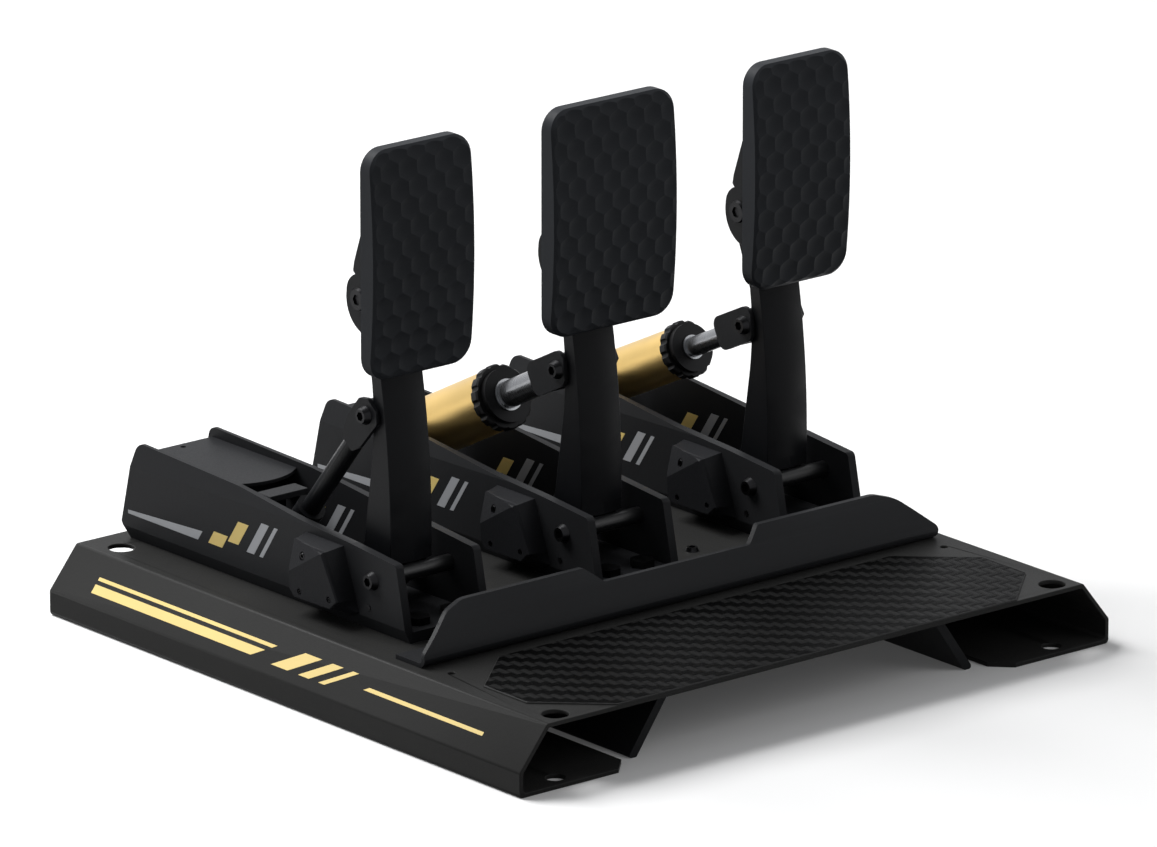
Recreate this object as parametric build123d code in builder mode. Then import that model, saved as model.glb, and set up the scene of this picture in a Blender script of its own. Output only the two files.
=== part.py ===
from build123d import *
import math
import os

os.makedirs("parts", exist_ok=True)

# Frame: X to the right, Y towards the rear, Z up.
# Origin: centre of the base plate's outline, on the floor.

# Fits and clearances
running_fit = 0.05
face_gap = 0.3
end_play = 0.1
overrun = 12.0

# Base plate, one folded sheet
base_width = 406.0
base_depth = 398.4
base_sheet = 2.5
deck_height = 37.0
slope_run = 18.5
lip_height = 14.0
foot_width = 77.0
foot_corner = 11.0
bend_radius = 2.4
foot_hole_inset = 32.0
foot_hole_front = 10.2
foot_hole_rear = 22.2
foot_hole_diameter = 10.7
access_hole_diameter = 14.5
marker_hole_diameter = 4.2
marker_hole_inset = 33.0
marker_hole_y = -103.0

# Channel below the deck
channel_sheet = 5.0
channel_length = 370.0
channel_foot_width = 238.6
channel_web_width = 189.8

# Heel plate
heel_sheet = 2.5
heel_foot_y = -90.0
heel_width = 355.0
heel_height = 28.5
heel_lean = 12.6
heel_flange = 24.0
heel_end_slant = 28.0
heel_notch_width = 120.0
heel_notch_depth = 8.0
heel_notch_slant = 10.0
heel_screw_inset = 10.0
heel_screw_places_share = (-0.42, -0.14, 0.14, 0.42)
heel_bend = 5.0
heel_curve_shares = ((0.35, 0.57), (1.08, 1.06))
heel_end_shares = ((0.0, 0.0), (0.0, 0.25), (0.8, 0.87), (1.25, 1.0))
heel_corner_radius = 4.0
heel_end_radius = 20.0

# Heel mat
mat_thickness = 1.0
mat_width = 344.0
mat_rear_y = -99.0
mat_bevel = 0.4
mat_length = 100.0
mat_corner_width_shares = (0.785, 0.797)
mat_corner_length_shares = (0.33, 0.68)

# Pedal modules
module_pitch = 130.0
module_width = 57.0
wall_thickness = 5.0
wall_front_y = -51.6
wall_length = 244.6
wall_height = 54.7
wall_corner_radius = 6.0
wall_nose_radius = 3.0
wall_outline_shares = (
    (0.0, 0.0),
    (0.0364, 0.750),
    (0.1905, 0.810),
    (0.3745, 0.859),
    (0.591, 0.954),
    (0.954, 1.0),
    (1.0, 0.1645),
    (0.980, 0.0),
)
wall_top_bevel_shares = ((0.301, 0.835), (0.967, 0.757))
wall_top_lean = 3.0
wall_foot_bevel = 7.0
wall_foot_lean = 2.5
floor_thickness = 6.0
floor_front_y = -51.5
floor_length = 237.5
cover_height = 86.0
cover_sheet = 2.0
cover_rear_y = 180.0
clutch_cover_length = 73.0
open_cover_length = 16.0
clutch_cover_bulge = 9.0
cover_hole_inset = 5.0
cover_hole_radius = 1.6

# Pivot of the arms and the rod that they rest on
pivot_y = 8.0
pivot_height = 60.0
pivot_radius = 5.0
spacer_radius = 8.0
tie_rod_y = -23.0
tie_rod_height = 65.0
tie_rod_radius = 4.5
dowel_y = -20.0
dowel_height = 49.5
dowel_radius = 1.5
dowel_length = 4.0
dowel_proud = 0.4

# Arms
arm_width = 28.0
arm_ridge = 2.2
arm_front_y = -20.2
arm_depth = 22.2
arm_reach = 151.5
arm_toe = 2.2
arm_boss_radius = 13.0
arm_boss_angle = 207.0
arm_head_radius = 11.0
arm_head_y = 1.0
arm_front_shares = ((0.0, 0.106), (0.054, 0.411), (0.324, 0.728))
arm_rear_shares = ((0.698, 0.722), (0.626, 0.556), (0.721, 0.391), (1.0, 0.119))
lug_radius = 8.0

# Pads and the brackets behind them
pad_height = 125.0
pad_rise = 89.0
pad_back_y = -20.8
pad_edge_depth = 9.2
pad_crown = 4.0
pad_corner_radius = 12.0
pad_bevel = 2.4
pad_widths = {"clutch": 68.0, "brake": 84.4, "throttle": 67.0}
bracket_sheet = 3.0
bracket_depth = 32.7
bracket_height = 69.0
bracket_drop = 24.5
bracket_lower_shares = ((0.0, 0.0), (0.657, 0.101))
bracket_lobe_shares = ((0.887, 0.184), (1.0, 0.391), (0.933, 0.487), (0.777, 0.543))
bracket_rib_shares = ((0.829, 0.565), (0.801, 0.638), (0.575, 0.942), (0.0, 1.0))

# Screws, bolts and pins
screw_radius = 2.5
screw_head_radius = 5.2
screw_head_height = 3.5
screw_head_taper = 22.0
screw_grip = 10.0
socket_share = 0.5
socket_depth_share = 0.6
bolt_radius = 4.0
bolt_head_flats = 12.0
bolt_head_height = 4.0
nut_height = 5.0
bolt_end = 2.0
bolt_across = 23.6
front_bolt_y = -40.0
rear_bolt_y = 98.0
deck_screw_radius = 2.0
deck_screw_head_radius = 3.75
deck_screw_head_height = 2.2
deck_screw_length = 9.0
deck_screw_span = 123.0
deck_screw_y = -22.1
deck_screw_rear_y = 150.0
cross_bolt_radius = 4.0
cross_bolt_head_radius = 6.2
cross_bolt_head_height = 1.8
cross_nut_height = 5.0

# Sensor boxes on the left walls
sensor_depth = 10.5
sensor_cover_depth = 3.0
sensor_front_y = -12.0
sensor_foot_height = 41.6
sensor_length = 44.4
sensor_height = 37.0
sensor_cover_shares = (
    (0.991, 0.962),
    (0.342, 0.943),
    (0.045, 0.295),
    (0.186, 0.141),
    (0.876, 0.130),
    (0.964, 0.235),
    (0.973, 0.497),
)
sensor_wall_shares = (
    (1.0, 1.0),
    (0.293, 1.0),
    (0.0, 0.081),
    (0.135, 0.0),
    (0.923, 0.0),
    (1.0, 0.119),
    (1.0, 0.524),
)
sensor_facet_shares = ((0.342, 0.943), (0.973, 0.497), (0.991, 0.962))
sensor_facet_drop = 5.0
sensor_bevel = 0.8
sensor_screw_radius = 0.9
sensor_screw_head_radii = (2.1, 1.4, 1.4)
sensor_screw_sinks = (2.6, 1.6, 1.6)
sensor_screw_head_height = 1.3
sensor_screw_shares = ((0.743, 0.778), (0.766, 0.251), (0.207, 0.292))

# Places of the strut pins
strut_pin_y = -3.0
strut_pin_height = 149.0
strut_pin_radius = 3.0
brake_anchor_y = 150.0
brake_anchor_height = 70.0
throttle_anchor_y = 150.0
throttle_anchor_height = 75.0
clutch_anchor_y = 74.0
clutch_anchor_height = 55.0

# Clevis on the brake and throttle struts
clevis_sheet = 2.5
clevis_height = 19.0
clevis_nose = 6.5
clevis_slant = 4.0
clevis_length = 25.0
clevis_corner = 5.5
stud_length = 5.0

# Dampers, measured along the strut from its front pin
knob_front = 69.0
knob_disc_length = 3.5
knob_ring_length = 6.0
knob_notches = 14
knob_notch_radius = 2.0
knob_notch_share = 0.35
knob_bevel = 0.8
gland_lip = 1.0
gland_length = 12.0
spigot_radius_share = 0.7
cylinder_end = 146.0
cylinder_wall = 3.0
cylinder_face = 5.5
cap_length = 6.0
plug_length = 5.0
piston_place = 108.0
piston_length = 4.0
flat_length = 7.0
flat_share = 0.8
brake_sizes = {
    "rod": 7.5,
    "stud": 5.0,
    "nut": 6.0,
    "gland": 8.8,
    "disc": 15.0,
    "knob": 18.25,
    "cylinder": 17.0,
    "cap": 15.0,
}
throttle_sizes = {
    "rod": 5.5,
    "stud": 4.0,
    "nut": 0.0,
    "gland": 6.75,
    "disc": 13.5,
    "knob": 16.0,
    "cylinder": 14.0,
    "cap": 12.5,
}
nut_flats = 14.0

# Rear pivots of the dampers
eye_width = 16.0
eye_radius = 8.5
eye_neck = 13.0
eye_play = 1.2
anchor_pin_radius = 4.0
anchor_cheek = 5.6
anchor_cheek_radius = 10.0
anchor_base_height = 14.0
anchor_base_lengths = {"brake": 46.0, "throttle": 34.0}
anchor_base_shift_share = 0.2

# Clutch strut
strut_plate_length = 33.5
strut_plate_width = 19.4
strut_plate_corner = 2.5
strut_plate_shares = (
    (-0.254, 0.237),
    (-0.104, 0.484),
    (0.358, 0.500),
    (0.746, 0.270),
    (0.746, -0.270),
    (0.537, -0.420),
    (-0.104, -0.484),
    (-0.254, -0.237),
)
tube_radius = 5.25
tube_start = 15.0
tube_overlap = 10.0
can_radius = 8.0
can_length = 31.5
can_floor = 3.0
can_eye_reach = 7.0
can_eye_radius = 7.0
can_eye_neck = 11.0
can_pin_radius = 3.0
portal_sheet = 3.0
portal_strap = 3.5
portal_top_height = 87.5
portal_depth = 16.0
strap_overhang = 3.0
strap_setback = 4.5

# Controller box inside the clutch module
controller_length = 64.0
controller_height = 35.0
controller_play = 0.2
controller_bevel = 2.0
controller_rear_y = 180.0
socket_width = 14.0
socket_height = 11.0
socket_depth = 12.0
socket_lift = 12.0

# Values that follow from the sizes above
half_base = base_width / 2
half_depth = base_depth / 2
half_deck = half_base - slope_run
half_module = module_width / 2
inner_half = half_module - wall_thickness
half_arm = arm_width / 2
deck_under = deck_height - base_sheet
floor_top = deck_height + floor_thickness
head_height = pivot_height + arm_reach
pad_top_height = head_height + pad_rise
bracket_foot_height = head_height - bracket_drop
toe_height = tie_rod_height + tie_rod_radius + face_gap
clevis_half = half_arm + face_gap + clevis_sheet
module_names = ("clutch", "brake", "throttle")
module_centres = {"clutch": -module_pitch, "brake": 0.0, "throttle": module_pitch}
sides = (-1, 1)


def save(builder, label):
    """Label the finished piece and write its STEP file."""
    builder.part.label = label
    export_step(builder.part, f"parts/{label}.step")


def scaled(shares, start_y, length, start_z, height):
    """Points of a side outline from its shares of a length and a height."""
    return [(start_y + y * length, start_z + z * height) for y, z in shares]


def side_plane(x):
    """Plane that looks along X, with Y and Z as its axes."""
    return Plane.YZ.offset(x)


def cross_plane(x, y, z, side=1):
    """Plane square to X at a point, whose normal points to the given side."""
    return Plane(origin=(x, y, z), x_dir=(0, 1, 0), z_dir=(side, 0, 0))


def headed_screw(plane, head_radius, head_height_above, shank_radius, shank_length):
    """Button head above the plane with a hexagon socket, and a shank below it."""
    with BuildSketch(plane) as head:
        Circle(head_radius)
    extrude(head.sketch, amount=head_height_above, taper=screw_head_taper)
    with BuildSketch(plane) as shank:
        Circle(shank_radius)
    extrude(shank.sketch, amount=-shank_length)
    with BuildSketch(plane.offset(head_height_above)) as socket:
        RegularPolygon(head_radius * socket_share, 6)
    socket_depth_below = head_height_above * socket_depth_share
    extrude(socket.sketch, amount=-socket_depth_below, mode=Mode.SUBTRACT)


def hexagon(plane, flats, height):
    """Hexagonal prism that stands on the plane."""
    with BuildSketch(plane) as section:
        RegularPolygon(flats / 2, 6, major_radius=False)
    extrude(section.sketch, amount=height)


def bore(plane, radius, depth):
    """Round hole cut along the plane's normal."""
    with BuildSketch(plane) as section:
        Circle(radius)
    extrude(section.sketch, amount=depth, mode=Mode.SUBTRACT)


def drill_down(places, radius, top, depth):
    """Round vertical holes that start at a height and go down."""
    for x, y in places:
        bore(Plane(origin=(x, y, top)), radius, -depth)


# Places shared by the holes and by what goes through them
foot_places = [
    (side * (half_base - foot_hole_inset), y)
    for side in sides
    for y in (foot_hole_front - half_depth, half_depth - foot_hole_rear)
]
marker_places = [(side * (half_base - marker_hole_inset), marker_hole_y) for side in sides]
deck_screw_places = [
    (side * deck_screw_span / 2, y)
    for side in sides
    for y in (deck_screw_y, deck_screw_rear_y)
]
heel_screw_places = [
    (share * heel_width, heel_foot_y + heel_flange - heel_screw_inset)
    for share in heel_screw_places_share
]
bolt_places = {
    name: [
        (module_centres[name] + side * bolt_across / 2, y)
        for side in sides
        for y in (front_bolt_y, rear_bolt_y)
    ]
    for name in module_names
}
bolt_grips = {
    "clutch": floor_thickness + base_sheet,
    "brake": floor_thickness + base_sheet + channel_sheet,
    "throttle": floor_thickness + base_sheet,
}


# Base plate: feet, vertical lips, slopes and deck in one folded section
with BuildPart() as base_plate:
    foot_edge = half_base - foot_width
    with BuildSketch(Plane.XZ):
        with BuildLine():
            Polyline(
                (-foot_edge, 0),
                (-half_base, 0),
                (-half_base, lip_height),
                (-half_deck, deck_height),
                (half_deck, deck_height),
                (half_base, lip_height),
                (half_base, 0),
                (foot_edge, 0),
            )
            offset(amount=base_sheet, side=Side.RIGHT, kind=Kind.INTERSECTION)
        make_face()
        bends = vertices().filter_by(lambda v: abs(v.X) > foot_edge + base_sheet)
        fillet(bends, radius=bend_radius)
    extrude(amount=half_depth, both=True)
    front_corners = edges().filter_by(Axis.Z).filter_by(
        lambda e: abs(abs(e.center().X) - foot_edge) < base_sheet and e.center().Y < 0
    )
    chamfer(front_corners, length=foot_corner)
    drill_down(foot_places, foot_hole_diameter / 2, base_sheet, base_sheet)
    drill_down(foot_places, access_hole_diameter / 2, deck_height, base_sheet)
    drill_down(marker_places, marker_hole_diameter / 2, deck_height, base_sheet)
    screw_places = deck_screw_places + heel_screw_places
    drill_down(screw_places, deck_screw_radius + running_fit, deck_height, base_sheet)
    for name in module_names:
        drill_down(bolt_places[name], bolt_radius + running_fit, deck_height, base_sheet)
save(base_plate, "base_plate")


# Channel under the deck: a web against the deck and two legs that lean out to the floor
with BuildPart() as under_channel:
    leg_rise = deck_under
    leg_lean = (channel_foot_width - channel_web_width) / 2
    foot_x = channel_foot_width / 2 + leg_lean * overrun / leg_rise
    with BuildSketch(Plane.XZ):
        with BuildLine():
            Polyline(
                (-foot_x, -overrun),
                (-channel_web_width / 2, deck_under),
                (channel_web_width / 2, deck_under),
                (foot_x, -overrun),
            )
            offset(amount=channel_sheet, side=Side.RIGHT, kind=Kind.INTERSECTION)
        make_face()
    extrude(amount=channel_length / 2, both=True)
    split(bisect_by=Plane.XY, keep=Keep.TOP)
    web_edges = edges().filter_by(Axis.Y).group_by(Axis.Z)
    fillet(web_edges[-1], radius=bend_radius)
    fillet(edges().filter_by(Axis.Y).group_by(Axis.Z)[0], radius=channel_sheet / 3)
    drill_down(screw_places, deck_screw_radius + running_fit, deck_under, channel_sheet)
    drill_down(bolt_places["brake"], bolt_radius + running_fit, deck_under, channel_sheet)
save(under_channel, "under_channel")


# Heel plate: a flange on the deck and a leaning front, with slanted ends and a top notch
with BuildPart() as heel_plate:
    curve = scaled(heel_curve_shares, heel_foot_y, heel_lean, deck_height, heel_height)
    with BuildSketch(Plane.YZ):
        with BuildLine():
            Line((heel_foot_y + heel_flange, deck_height), (heel_foot_y + heel_bend, deck_height))
            TangentArc(
                (heel_foot_y + heel_bend, deck_height),
                (heel_foot_y, deck_height + heel_bend),
                tangent=(-1, 0),
            )
            ThreePointArc((heel_foot_y, deck_height + heel_bend), *curve)
            offset(amount=heel_sheet, side=Side.RIGHT, kind=Kind.INTERSECTION)
        make_face()
    extrude(amount=heel_width / 2, both=True)
    with BuildSketch(Plane.XZ.offset(-heel_foot_y + overrun)):
        right_end = [
            (heel_width / 2 - x * heel_end_slant, deck_height + z * heel_height)
            for x, z in heel_end_shares
        ]
        left_end = [(-x, z) for x, z in right_end]
        notch_floor = deck_height + heel_height - heel_notch_depth
        notch_top = deck_height + heel_height
        notch = [
            (heel_notch_width / 2, notch_top),
            (heel_notch_width / 2 - heel_notch_slant, notch_floor),
            (-heel_notch_width / 2 + heel_notch_slant, notch_floor),
            (-heel_notch_width / 2, notch_top),
        ]
        with BuildLine():
            Polyline(*right_end, *notch, *reversed(left_end), close=True)
        make_face()
        notch_side = heel_notch_width / 2 + heel_corner_radius
        raised = vertices().filter_by(lambda v: v.Y > deck_height + heel_sheet)
        low = raised.filter_by(lambda v: v.Y < deck_height + heel_height / 2)
        notched = raised.filter_by(lambda v: abs(v.X) < notch_side)
        fillet(low + notched, radius=heel_corner_radius)
        high = vertices().filter_by(lambda v: v.Y > deck_height + heel_height / 2)
        fillet(high.filter_by(lambda v: abs(v.X) > notch_side), radius=heel_end_radius)
    extrude(amount=-(heel_flange + overrun + overrun), mode=Mode.INTERSECT)
    for x, y in heel_screw_places:
        bore(Plane(origin=(x, y, deck_height)), deck_screw_radius + running_fit, heel_sheet)
save(heel_plate, "heel_plate")


# Heel mat: flat, with its four corners cut off
with BuildPart() as heel_mat:
    rear_share, front_share = mat_corner_width_shares
    rear_turn, front_turn = mat_corner_length_shares
    mat_right = [
        (mat_width / 2 * rear_share, mat_rear_y),
        (mat_width / 2, mat_rear_y - mat_length * rear_turn),
        (mat_width / 2, mat_rear_y - mat_length * front_turn),
        (mat_width / 2 * front_share, mat_rear_y - mat_length),
    ]
    mat_left = [(-x, y) for x, y in reversed(mat_right)]
    with BuildSketch(Plane.XY.offset(deck_height)):
        with BuildLine():
            Polyline(*mat_right, *mat_left, close=True)
        make_face()
    extrude(amount=mat_thickness)
    chamfer(faces().sort_by(Axis.Z)[-1].edges(), length=mat_bevel)
save(heel_mat, "heel_mat")


def make_wall(name, side):
    """Side wall of a module, with a leaning band at its top and at its foot."""
    outer_x = module_centres[name] + side * half_module
    outline = scaled(wall_outline_shares, wall_front_y, wall_length, deck_height, wall_height)
    bend = scaled(wall_top_bevel_shares, wall_front_y, wall_length, deck_height, wall_height)
    top_z = deck_height + wall_height
    with BuildPart() as wall:
        with BuildSketch(side_plane(outer_x)):
            with BuildLine():
                Polyline(*outline, close=True)
            make_face()
            top_corner = vertices().filter_by(lambda v: v.X > wall_front_y + wall_length / 2)
            fillet(top_corner.sort_by(Axis.Y)[-1], radius=wall_corner_radius)
            nose = vertices().filter_by(lambda v: v.X < wall_front_y + wall_length / 2)
            fillet(nose.sort_by(Axis.X)[1], radius=wall_nose_radius)
        extrude(amount=-side * wall_thickness)
        front_bend = Vector(outer_x, *bend[0])
        rear_bend = Vector(outer_x, *bend[1])
        top_edge = Vector(outer_x - side * wall_top_lean, bend[1][0], top_z)
        normal = (rear_bend - front_bend).cross(top_edge - front_bend)
        outward = normal if normal.Z > 0 else -normal
        split(bisect_by=Plane(origin=front_bend, z_dir=outward), keep=Keep.BOTTOM)
        foot_low = Vector(outer_x - side * wall_foot_lean, 0, deck_height)
        foot_rise = Vector(side * wall_foot_lean, 0, wall_foot_bevel)
        foot_normal = Vector(0, 1, 0).cross(foot_rise)
        foot_out = foot_normal if foot_normal.Z < 0 else -foot_normal
        split(bisect_by=Plane(origin=foot_low, z_dir=foot_out), keep=Keep.BOTTOM)
        outside = outer_x + side * overrun
        through = -side * (wall_thickness + overrun + overrun)
        for y, z, radius in (
            (pivot_y, pivot_height, pivot_radius),
            (tie_rod_y, tie_rod_height, screw_radius),
        ):
            bore(cross_plane(outside, y, z), radius + running_fit, through)
        bore(
            cross_plane(outer_x, dowel_y, dowel_height),
            dowel_radius + running_fit,
            -side * dowel_length,
        )
    save(wall, f"{name}_{'left' if side < 0 else 'right'}_wall")


def make_floor(name):
    """Floor plate between the walls, bolted to the deck."""
    with BuildPart() as floor:
        with BuildSketch(Plane.XY.offset(deck_height)):
            with Locations((module_centres[name], floor_front_y + floor_length / 2)):
                Rectangle(module_width - 2 * wall_thickness, floor_length)
        extrude(amount=floor_thickness)
        drill_down(bolt_places[name], bolt_radius + running_fit, floor_top, floor_thickness)
    save(floor, f"{name}_floor")


def make_rear_cover(name):
    """Sheet between the walls at the rear, whose front edge is bowed on the clutch."""
    length = clutch_cover_length if name == "clutch" else open_cover_length
    bulge = clutch_cover_bulge if name == "clutch" else 0
    x = module_centres[name]
    front_y = cover_rear_y - length
    with BuildPart() as cover:
        with BuildSketch(Plane.XY.offset(cover_height - cover_sheet)):
            with BuildLine():
                Polyline(
                    (x - inner_half, front_y),
                    (x - inner_half, cover_rear_y),
                    (x + inner_half, cover_rear_y),
                    (x + inner_half, front_y),
                )
                if bulge > 0:
                    ThreePointArc(
                        (x + inner_half, front_y),
                        (x, front_y - bulge),
                        (x - inner_half, front_y),
                    )
                else:
                    Line((x + inner_half, front_y), (x - inner_half, front_y))
            make_face()
        extrude(amount=cover_sheet)
        if name == "clutch":
            hole_place = (x, cover_rear_y - cover_hole_inset)
            drill_down([hole_place], cover_hole_radius, cover_height, cover_sheet)
    save(cover, f"{name}_rear_cover")


for name in module_names:
    make_wall(name, -1)
    make_wall(name, 1)
    make_floor(name)
    make_rear_cover(name)


# Pivot shafts, which pass through both walls of each module
with BuildPart() as pivot_shafts:
    for name in module_names:
        with BuildSketch(cross_plane(module_centres[name], pivot_y, pivot_height)):
            Circle(pivot_radius)
        extrude(amount=half_module, both=True)
save(pivot_shafts, "pivot_shafts")


# Spacers on the shafts between each arm and its walls
with BuildPart() as pivot_spacers:
    for name in module_names:
        for side in sides:
            inner_x = module_centres[name] + side * (half_arm + end_play)
            with BuildSketch(cross_plane(inner_x, pivot_y, pivot_height, side)):
                Circle(spacer_radius)
                Circle(pivot_radius + running_fit, mode=Mode.SUBTRACT)
            extrude(amount=inner_half - half_arm - end_play)
save(pivot_spacers, "pivot_spacers")


# Tie rods between the walls, tapped at both ends
with BuildPart() as tie_rods:
    for name in module_names:
        x = module_centres[name]
        with BuildSketch(cross_plane(x, tie_rod_y, tie_rod_height)):
            Circle(tie_rod_radius)
        extrude(amount=inner_half, both=True)
        for side in sides:
            end_plane = cross_plane(x + side * inner_half, tie_rod_y, tie_rod_height, -side)
            bore(end_plane, screw_radius + running_fit, screw_grip + end_play)
save(tie_rods, "tie_rods")


# Button screws that hold the tie rods, and a dowel in each wall
with BuildPart() as wall_screws:
    for name in module_names:
        for side in sides:
            x = module_centres[name] + side * half_module
            headed_screw(
                cross_plane(x, tie_rod_y, tie_rod_height, side),
                screw_head_radius,
                screw_head_height,
                screw_radius,
                wall_thickness + screw_grip,
            )
            with BuildSketch(cross_plane(x + side * dowel_proud, dowel_y, dowel_height, -side)):
                Circle(dowel_radius)
            extrude(amount=dowel_proud + dowel_length)
save(wall_screws, "wall_screws")


# Hexagon bolts through floor and deck, each with its nut below
with BuildPart() as module_bolts:
    for name in module_names:
        grip = bolt_grips[name]
        for x, y in bolt_places[name]:
            hexagon(Plane(origin=(x, y, floor_top)), bolt_head_flats, bolt_head_height)
            with BuildSketch(Plane(origin=(x, y, floor_top))):
                Circle(bolt_radius)
            extrude(amount=-(grip + nut_height + bolt_end))
            nut_plane = Plane(origin=(x, y, floor_top - grip - nut_height))
            with BuildSketch(nut_plane):
                RegularPolygon(bolt_head_flats / 2, 6, major_radius=False)
                Circle(bolt_radius + running_fit, mode=Mode.SUBTRACT)
            extrude(amount=nut_height)
save(module_bolts, "module_bolts")


# Small screws on the deck, the channel and the heel plate
with BuildPart() as base_screws:
    for x, y in deck_screw_places:
        headed_screw(
            Plane(origin=(x, y, deck_height)),
            deck_screw_head_radius,
            deck_screw_head_height,
            deck_screw_radius,
            deck_screw_length,
        )
    for x, y in heel_screw_places:
        headed_screw(
            Plane(origin=(x, y, deck_height + heel_sheet)),
            deck_screw_head_radius,
            deck_screw_head_height,
            deck_screw_radius,
            deck_screw_length,
        )
save(base_screws, "base_screws")


def sensor_facet(wall_x):
    """Leaning plane that takes the upper rear corner off a sensor box."""
    places = scaled(
        sensor_facet_shares, sensor_front_y, sensor_length, sensor_foot_height, sensor_height
    )
    outer_x = wall_x - sensor_depth - sensor_cover_depth
    low = Vector(outer_x, *places[0])
    rear = Vector(outer_x, *places[1])
    corner = Vector(outer_x + sensor_facet_drop, *places[2])
    normal = (rear - low).cross(corner - low)
    outward = normal if normal.X < 0 else -normal
    return Plane(origin=low, z_dir=outward)


def sensor_face(plane_x, shares):
    """Outline of a sensor box on a plane square to X."""
    outline = scaled(shares, sensor_front_y, sensor_length, sensor_foot_height, sensor_height)
    with BuildSketch(side_plane(plane_x)) as section:
        with BuildLine():
            Polyline(*outline, close=True)
        make_face()
    return section.sketch


sensor_screw_places = scaled(
    sensor_screw_shares, sensor_front_y, sensor_length, sensor_foot_height, sensor_height
)
sensor_screws_table = list(
    zip(sensor_screw_places, sensor_screw_head_radii, sensor_screw_sinks, strict=True)
)


def make_sensor_box(name):
    """Body of a sensor box on the left wall."""
    wall_x = module_centres[name] - half_module
    with BuildPart() as sensor_box:
        wall_outline = sensor_face(wall_x, sensor_wall_shares)
        cover_outline = sensor_face(wall_x - sensor_depth, sensor_cover_shares)
        loft([wall_outline, cover_outline], ruled=True)
        split(bisect_by=sensor_facet(wall_x), keep=Keep.BOTTOM)
        for y, z in sensor_screw_places:
            bore(
                cross_plane(wall_x - sensor_depth - sensor_cover_depth, y, z),
                sensor_screw_radius + running_fit,
                sensor_depth / 2 + sensor_cover_depth,
            )
    save(sensor_box, f"{name}_sensor_box")


for name in module_names:
    make_sensor_box(name)


# Covers of the sensor boxes
with BuildPart() as sensor_covers:
    for name in module_names:
        wall_x = module_centres[name] - half_module
        with BuildPart(mode=Mode.PRIVATE) as one_cover:
            cover_outline = sensor_face(wall_x - sensor_depth, sensor_cover_shares)
            extrude(cover_outline, amount=-sensor_cover_depth)
            chamfer(faces().sort_by(Axis.X)[0].edges(), length=sensor_bevel)
            split(bisect_by=sensor_facet(wall_x), keep=Keep.BOTTOM)
            for (y, z), head_radius, sink in sensor_screws_table:
                cover_plane = cross_plane(wall_x - sensor_depth - sensor_cover_depth, y, z)
                bore(cover_plane, sensor_screw_radius + running_fit, sensor_cover_depth)
                bore(cover_plane, head_radius + face_gap, sink)
        add(one_cover.part)
save(sensor_covers, "sensor_covers")


# Screws of the sensor covers
with BuildPart() as sensor_screws:
    for name in module_names:
        outer_x = module_centres[name] - half_module - sensor_depth - sensor_cover_depth
        for (y, z), head_radius, sink in sensor_screws_table:
            headed_screw(
                cross_plane(outer_x + sink, y, z, -1),
                head_radius,
                sensor_screw_head_height,
                sensor_screw_radius,
                sensor_cover_depth + sensor_depth / 2 - sink,
            )
save(sensor_screws, "sensor_screws")


def make_arm(name):
    """Pedal arm: a blade with a ridged front, a boss, a strut lug and a round head."""
    x = module_centres[name]
    front = scaled(arm_front_shares, arm_front_y, arm_depth, pivot_height, arm_reach)
    rear = scaled(arm_rear_shares, arm_front_y, arm_depth, pivot_height, arm_reach)
    angle = math.radians(arm_boss_angle)
    boss_point = (
        pivot_y + arm_boss_radius * math.cos(angle),
        pivot_height + arm_boss_radius * math.sin(angle),
    )
    ridge_dirs = [(side * half_arm, arm_ridge, 0) for side in sides]
    ridge_length = math.hypot(half_arm, arm_ridge)
    with BuildSketch(Plane.XY) as profile:
        with BuildLine():
            ThreePointArc(*front)
            Line(front[-1], (arm_head_y - arm_head_radius, head_height))
            Line(
                (arm_head_y - arm_head_radius, head_height),
                (arm_head_y + arm_head_radius, head_height),
            )
            Line((arm_head_y + arm_head_radius, head_height), rear[0])
            ThreePointArc(*rear[:3])
            Polyline(
                rear[2],
                rear[3],
                (pivot_y + arm_boss_radius / 2, pivot_height + arm_boss_radius / 2),
                (pivot_y, pivot_height),
                boss_point,
                (arm_front_y + arm_toe, toe_height),
                (arm_front_y, toe_height),
                front[0],
            )
        make_face()
    with BuildPart() as arm:
        middle = cross_plane(x, 0, 0)
        extrude(middle * profile.sketch, amount=half_arm, both=True)
        ridge = cross_plane(x, -arm_ridge, 0)
        for ridge_dir in ridge_dirs:
            extrude(ridge * profile.sketch, amount=ridge_length, dir=ridge_dir)
        with BuildSketch(cross_plane(x, pivot_y, pivot_height)):
            Circle(arm_boss_radius)
        extrude(amount=half_arm, both=True)
        with BuildSketch(cross_plane(x, arm_head_y, head_height)):
            Circle(arm_head_radius)
        extrude(amount=half_arm, both=True)
        with BuildSketch(cross_plane(x, strut_pin_y, strut_pin_height)):
            Circle(lug_radius)
        extrude(amount=half_arm, both=True)
        for y, z, radius in (
            (pivot_y, pivot_height, pivot_radius),
            (strut_pin_y, strut_pin_height, strut_pin_radius),
            (arm_head_y, head_height, cross_bolt_radius),
        ):
            start = cross_plane(x - half_arm - overrun, y, z)
            bore(start, radius + running_fit, arm_width + overrun + overrun)
    save(arm, f"{name}_arm")


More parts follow.
